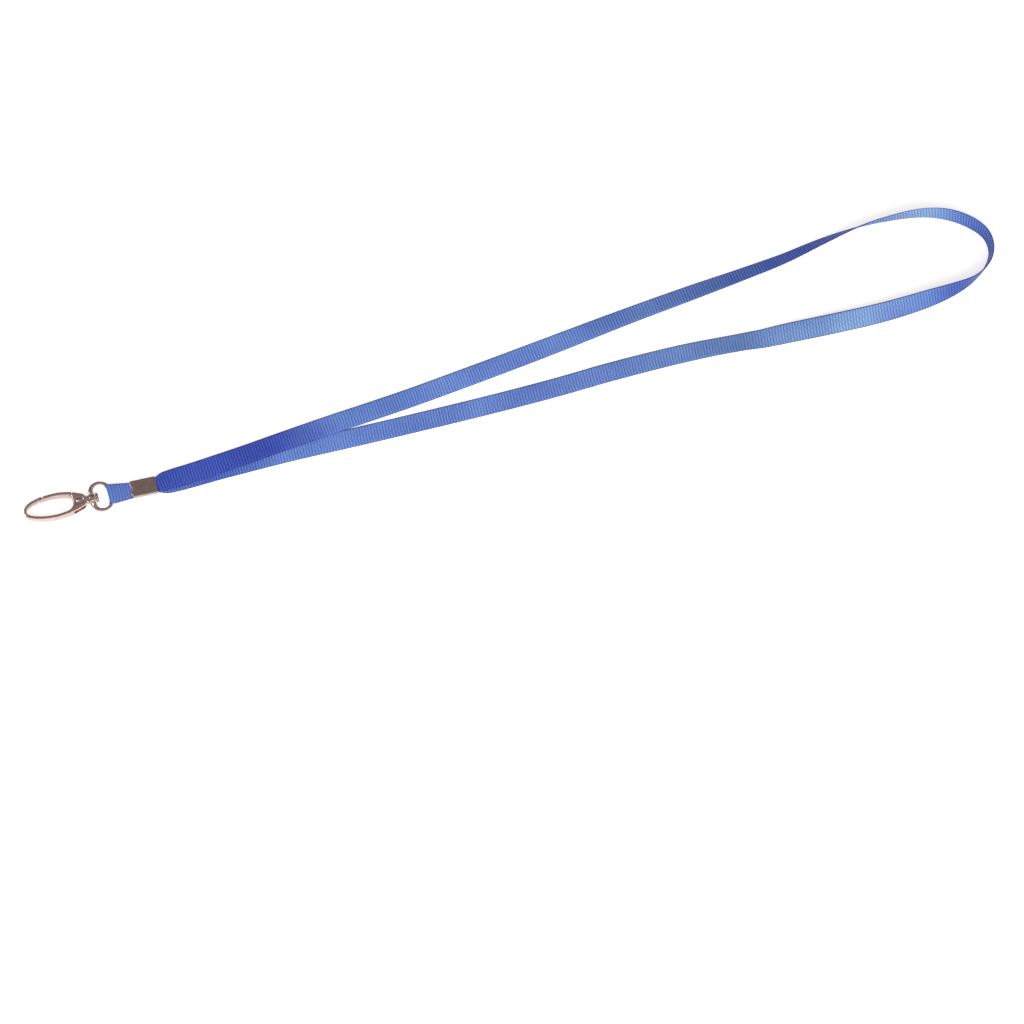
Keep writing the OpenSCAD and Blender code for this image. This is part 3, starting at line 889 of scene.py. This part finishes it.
def gate(material):
    """The gate's arm with a hub between the cheeks, hollowed for the rivet and the spring."""
    arm = plate(
        "gate_arm", gate_outline(),
        lambda h: hook_low(h) + SIDE_GAP, lambda h: hook_high(h) - SIDE_GAP, gate_edge,
    )
    hub_low = CHEEK_T + SIDE_GAP
    hub_high = HOOK_T - CHEEK_T - SIDE_GAP
    wall = [PIVOT + 3.2 * turned(CHEEK_TO_GATE + turn) for turn in (0, 7.5, 15)]
    hub_outline = wall + [
        Vector(p) for p in (
            (1.75, 2.1), (1.6, 0.9), (1.62, -0.4), (2.2, -1.35), (2.6, -1.6), (3.6, -3.2),
            (4.9, -3.2), (4.2, -1.6), (5.1, 0), (5.6, 1.6), (6.2, 2.6), (7.4, 4), (6.6, 4.85),
            (5.35, 4.5),
        )
    ]
    hub = plate("hub", hub_outline, lambda h: hub_low, lambda h: hub_high, 0.1)
    mesh = combined(arm, [hub], "UNION")
    seat = 2.2
    centre = (HOOK_END_X - PIVOT.x, PIVOT.y, 0.0)
    room = [(0, seat), (1.75, seat), (1.75, HOOK_T), (0, HOOK_T)]
    bore = [(0, 0), (1.05, 0), (1.05, HOOK_T), (0, HOOK_T)]
    groove_x = HOOK_END_X - PIVOT.x
    cuts = [
        lathe("room", room, centre, (0, 0, 1)),
        lathe("bore", bore, centre, (0, 0, 1)),
        box_mesh("leg_groove", (groove_x - 3, 0.95, seat + 0.01), (groove_x, 1.85, HOOK_T + 0.3)),
        box_mesh("half", (HOOK_END_X - 9, -6, seat + 0.02), (HOOK_END_X, 0, HOOK_T + 0.2)),
    ]
    mesh = shaded(softened(combined(mesh, cuts, "DIFFERENCE"), 0.06))
    piece = add_object("gate_casting", mesh, "gate", material)
    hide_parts("gate")


RIVET_R = 1.0
RIVET_HEAD_R = 1.5
RIVET_DOME = 0.45
RIVET_RISE = 0.15


def gate_rivet(material):
    """A shank with a head at each end: the upper one is domed, the lower one is flush."""
    profile = [
        (0, 0.05), (1.3, 0.05), (1.46, 0.12), (RIVET_HEAD_R, 0.25), (RIVET_HEAD_R, 0.45),
        (RIVET_R, 0.47), (RIVET_R, HOOK_T - 0.46), (RIVET_HEAD_R, HOOK_T - 0.44),
        (RIVET_HEAD_R, HOOK_T + RIVET_RISE - RIVET_DOME),
    ]
    top = HOOK_T + RIVET_RISE
    dome_r = (RIVET_HEAD_R**2 + RIVET_DOME**2) / (2 * RIVET_DOME)
    for k in range(1, 9):
        radius = RIVET_HEAD_R * (1 - k / 9)
        profile.append((radius, top - dome_r + math.sqrt(dome_r**2 - radius**2)))
    profile.append((0, top))
    mesh = lathe("gate_rivet_turned", profile, (HOOK_END_X - PIVOT.x, 0.0, 0.0), (0, 0, 1))
    piece = add_object("gate_rivet_turned", shaded(mesh, 40.0), "hook", material)
    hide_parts("gate_rivet")


BARREL_X = -1.0
BARREL_LENGTH = 2.6
BARREL_R = 2.5
PIN_R = 1.3
HEAD_X = BARREL_X + BARREL_LENGTH + 0.5


def swivel_pin(material):
    """A shank with a rounded disc for a head."""
    tail_x = HOOK_END_X - WEB
    shank = HEAD_X - tail_x
    profile = [(0, 0.02), (PIN_R + 0.25, 0.02), (PIN_R, 0.3), (PIN_R, shank)]
    profile += [
        (2.05, shank), (2.22, shank + 0.06), (2.3, shank + 0.22), (2.3, shank + 0.88),
        (2.22, shank + 1.03), (2.06, shank + 1.1), (0.6, shank + 1.1), (0, shank + 1.08),
    ]
    mesh = lathe("swivel_pin_turned", profile, (tail_x, 0.0, HOOK_T / 2), (1, 0, 0))
    piece = add_object("swivel_pin_turned", shaded(mesh, 38.0), "hook", material)
    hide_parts("swivel_pin")


WIRE_R = 0.8
BAR = RING_BAR_X / MM
BAR_HALF = RING_BAR_HALF / MM
LOOP_R = RING_LOOP_R / MM
FLARE = 0.5
FLARE_END = 4.5
FLARE_REACH = 3.0


def ring_line():
    """The wire's centre line from one side of the barrel round the oval to the other."""
    loop = Vector((BAR - LOOP_R, BAR_HALF))
    half = [Vector((BAR, BAR_HALF * k / 4)) for k in range(4)]
    turns = 56
    half += [loop + LOOP_R * turned(180 * k / turns) for k in range(turns + 1)]
    return [Vector((p.x, -p.y)) for p in reversed(half)] + half[1:]


def swivel_ring(material):
    """A cast ring whose wire thickens where it runs into the swivel's barrel."""
    line = ring_line()
    sides = 20
    rings = []
    for i, point in enumerate(line):
        way = (line[min(i + 1, len(line) - 1)] - line[max(i - 1, 0)]).normalized()
        out = Vector((-way.y, way.x))
        beside_barrel = point.x < FLARE_END
        from_barrel = max(0.0, abs(point.y) - BARREL_R)
        thick = FLARE * math.exp(-((from_barrel / FLARE_REACH) ** 2)) if beside_barrel else 0.0
        radius = WIRE_R + thick
        point = point + Vector((thick * max(0.0, 1 - point.x / 3), 0.0))
        ring = []
        for k in range(sides):
            angle = 2 * math.pi * k / sides
            flat = point + out * radius * math.cos(angle)
            ring.append(Vector((flat.x, flat.y, HOOK_T / 2 + radius * math.sin(angle))) * MM)
        rings.append(ring)
    wire = rings_mesh("wire", rings)
    end = BARREL_LENGTH
    profile = [
        (PIN_R + 0.05, 0.12), (PIN_R + 0.17, 0.0), (2.15, 0.0), (2.38, 0.08), (2.5, 0.3),
        (2.46, 0.9), (2.46, end - 0.9), (2.5, end - 0.3), (2.38, end - 0.08), (2.15, end),
        (PIN_R + 0.17, end), (PIN_R + 0.05, end - 0.12), (PIN_R + 0.05, 0.12),
    ]
    barrel = closed_lathe("barrel", profile[:-1], (BARREL_X, 0.0, HOOK_T / 2), (1, 0, 0))
    mesh = shaded(combined(barrel, [wire], "UNION"), 32.0)
    piece = add_object("swivel_ring_casting", mesh, "ring", material)
    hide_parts("swivel_ring")


CRIMP_HALF = 3.9
CRIMP_H = 2.6
CRIMP_SHEET = 0.4
CRIMP_CORNER = 0.55
CRIMP_SEAM = 0.12
CRIMP_DENT = 0.006
EAR_REACH = 0.6
EAR_PLACE = 2.3
EAR_HALF = 0.85
EAR_BEND = 0.14
NOTCH_DEPTH = 0.25
NOTCH_HALF = 0.9
# Places of the sheet's rings along the crimp, close together at its ends
CRIMP_PLACES = [0, 0.012, 0.03, 0.06, 0.1, 0.15, 0.2, 0.3, 0.45, 0.6, 0.75, 0.9, 0.97, 0.988, 1]


def crimp(material):
    """A sheet bent round the strap, with two rounded ears on its hook side."""
    outline = []
    corner = CRIMP_CORNER
    seam = CRIMP_SEAM
    steps = 8
    half, high = CRIMP_HALF, CRIMP_H

    def add(y, z, out_y, out_z):
        outline.append((Vector((y, z)), Vector((out_y, out_z)).normalized()))

    for k in range(7):
        add(-seam - (half - corner - seam) * k / 6, 0.0, 0, -1)
    for k in range(1, steps):
        angle = math.pi / 2 * k / steps
        way = (-math.sin(angle), -math.cos(angle))
        add(-half + corner + corner * way[0], corner + corner * way[1], *way)
    add(-half, corner, -1, 0)
    add(-half, high - corner, -1, 0)
    for k in range(1, steps):
        angle = math.pi / 2 * k / steps
        way = (-math.cos(angle), math.sin(angle))
        add(-half + corner + corner * way[0], high - corner + corner * way[1], *way)
    across = 28
    for k in range(across + 1):
        add(-(half - corner) + 2 * (half - corner) * k / across, high, 0, 1)
    mirrored = [(Vector((-p.x, p.y)), Vector((-n.x, n.y))) for p, n in outline]
    outline += list(reversed(mirrored))[across + 1:]
    length = CRIMP_LENGTH / MM

    def front(y, z):
        """How far the hook-side edge stands forward: two ears on top, a shallow notch between."""
        if z < high - 0.05:
            return 0.0
        ears = math.exp(-(((abs(y) - EAR_PLACE) / EAR_HALF) ** 4))
        notch = math.exp(-((y / NOTCH_HALF) ** 2))
        return EAR_REACH * ears - NOTCH_DEPTH * notch

    bm = bmesh.new()
    turn = Matrix.Rotation(CRIMP_SKEW, 3, "Z")

    def layer(depth):
        rows = []
        for share in CRIMP_PLACES:
            row = []
            for point, out in outline:
                low_x = -length / 2 - front(point.x, point.y)
                x = low_x + (length / 2 - low_x) * share
                near_end = min(share, 1 - share)
                # the sheet's edges are slightly rounded
                draw = 0.07 if near_end == 0 else (0.02 if near_end < 0.02 else 0.0)
                inside = depth + (draw if depth == 0 else -draw)
                place = point - out * inside
                z = place.y
                if point.y > high - 0.05:
                    z += CRIMP_DENT * math.sin(2.1 * point.x + 0.7) * math.sin(0.9 * x + 0.4)
                    into_ear = max(0.0, -length / 2 + 0.5 - x) / (0.5 + EAR_REACH)
                    z -= EAR_BEND * into_ear**2
                row.append(bm.verts.new(CRIMP_CENTRE + turn @ Vector((x, place.x, z)) * MM))
            rows.append(row)
        return rows

    outer = layer(0.0)
    inner = layer(CRIMP_SHEET)
    count = len(outline)
    quads = []
    for rows in (outer, inner):
        for a, b in zip(rows, rows[1:]):
            quads += [(a[k], a[k + 1], b[k + 1], b[k]) for k in range(count - 1)]
    for end in (0, -1):
        a, b = outer[end], inner[end]
        quads += [(a[k], a[k + 1], b[k + 1], b[k]) for k in range(count - 1)]
    for edge in (0, count - 1):
        for i in range(len(CRIMP_PLACES) - 1):
            quads.append((outer[i][edge], outer[i + 1][edge], inner[i + 1][edge], inner[i][edge]))
    for corners in quads:
        bm.faces.new(corners).smooth = True
    mesh = shaded(finished("crimp_sheet", bm), 50.0)
    piece = add_object("crimp_sheet", mesh, "strap", material)
    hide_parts("crimp")


# ---------------------------------------------------------------------------
# Scene
# ---------------------------------------------------------------------------


def paint(node, material):
    """Gives a CAD node that is shown as it is its material."""
    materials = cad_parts[node].data.materials
    materials.clear()
    materials.append(material)


def make_floor():
    mesh = bpy.data.meshes.new("floor")
    size = 20.0
    corners = [(-size, -size, 0), (size, -size, 0), (size, size, 0), (-size, size, 0)]
    mesh.from_pydata(corners, [], [(0, 1, 2, 3)])
    floor = bpy.data.objects.new("floor", mesh)
    floor.location.z = -0.02 * MM
    bpy.context.scene.collection.objects.link(floor)
    mesh.materials.append(floor_material())
    # the floor's glow hides shadows, and is kept from lighting the strap's sides from below
    floor.visible_diffuse = False


def area_light(name, place, target, size, power, colour=(1.0, 1.0, 1.0), mirrored=True):
    """A light of this width and height that faces the target. The metal mirrors it or not."""
    data = bpy.data.lights.new(name, "AREA")
    data.shape = "RECTANGLE"
    data.energy = power
    data.size, data.size_y = size
    data.color = colour
    light = bpy.data.objects.new(name, data)
    light.location = place
    light.visible_glossy = mirrored
    light.rotation_mode = "QUATERNION"
    light.rotation_quaternion = (Vector(target) - Vector(place)).to_track_quat("-Z", "Y")
    bpy.context.scene.collection.objects.link(light)


def make_world():
    """Soft surroundings: warm and slightly dimmer overhead, dim on the far side, dark below."""
    world = bpy.data.worlds.new("studio")
    bpy.context.scene.world = world
    world.use_nodes = True
    tree = world.node_tree

    def link(source, target):
        tree.links.new(source, target)

    def ramp(factor, stops):
        node = tree.nodes.new("ShaderNodeValToRGB")
        link(factor, node.inputs["Fac"])
        while len(node.color_ramp.elements) < len(stops):
            node.color_ramp.elements.new(0.5)
        for element, (place, colour) in zip(node.color_ramp.elements, stops):
            element.position = place
            element.color = (*colour, 1.0)
        return node.outputs["Color"]

    def from_below(value):
        """A direction's part along one axis, moved from -1...1 to 0...1."""
        node = tree.nodes.new("ShaderNodeMapRange")
        node.inputs["From Min"].default_value = -1.0
        link(value, node.inputs["Value"])
        return node.outputs["Result"]

    way = tree.nodes.new("ShaderNodeTexCoord").outputs["Generated"]
    split = tree.nodes.new("ShaderNodeSeparateXYZ")
    link(way, split.inputs["Vector"])
    height = ramp(from_below(split.outputs["Z"]), [
        (0.46, (0.12, 0.12, 0.14)), (0.5, (0.70, 0.67, 0.65)), (0.72, (0.70, 0.66, 0.63)),
        (0.86, (0.64, 0.57, 0.53)), (0.93, (0.60, 0.51, 0.475)), (1.0, (0.56, 0.47, 0.435)),
    ])
    side = ramp(from_below(split.outputs["Y"]), [
        (0.0, (0.80, 0.80, 0.80)), (0.3, (0.82, 0.82, 0.82)), (0.5, (0.80, 0.80, 0.82)),
        (0.68, (0.74, 0.74, 0.78)), (0.82, (0.34, 0.36, 0.46)), (1.0, (0.22, 0.24, 0.36)),
    ])
    both = tree.nodes.new("ShaderNodeMix")
    both.data_type = "RGBA"
    both.blend_type = "MULTIPLY"
    both.inputs["Factor"].default_value = 1.0
    link(height, both.inputs["A"])
    link(side, both.inputs["B"])
    link(both.outputs["Result"], tree.nodes["Background"].inputs["Color"])
    tree.nodes["Background"].inputs["Strength"].default_value = 0.9


def make_lights():
    make_world()
    area_light(
        "key", (0.15, -1.45, 1.05), (0.19, 0.0, 0.0), (3.2, 1.5), 38.0, (1.0, 0.985, 0.97),
        mirrored=False,
    )
    area_light("strip", (0.0, -1.4, 0.65), (0.0, 0.0, 0.0), (2.4, 0.14), 4.0, (1.0, 0.98, 0.97))
    area_light("end", (1.5, -0.3, 0.6), (0.25, 0.0, 0.0), (1.0, 1.0), 0.9, (1.0, 0.98, 0.96))
    area_light("front", (-0.5, 0.15, 0.25), (0.0, 0.0, 0.0), (0.4, 0.4), 1.1, (1.0, 0.97, 0.94))
    area_light("spark", (-0.36, 0.21, 0.92), (0.0, 0.0, 0.0), (0.1, 0.1), 0.7)
    bpy.context.scene.view_settings.view_transform = "Standard"


make_camera()
webbing = webbing_material()
nickel = nickel_material("nickel_plate", (0.52, 0.41, 0.375), (0.61, 0.49, 0.45), 0.13, 0.002 * MM)
sheet = nickel_material("nickel_sheet", (0.37, 0.295, 0.27), (0.44, 0.355, 0.325), 0.26, 0.002 * MM)
neck_webbing(webbing)
fold_webbing(webbing)
crimp(sheet)
swivel_ring(nickel)
swivel_pin(nickel)
hook_body(nickel)
gate_rivet(nickel)
gate(nickel)
paint("gate_spring", steel_material())
make_floor()
make_lights()
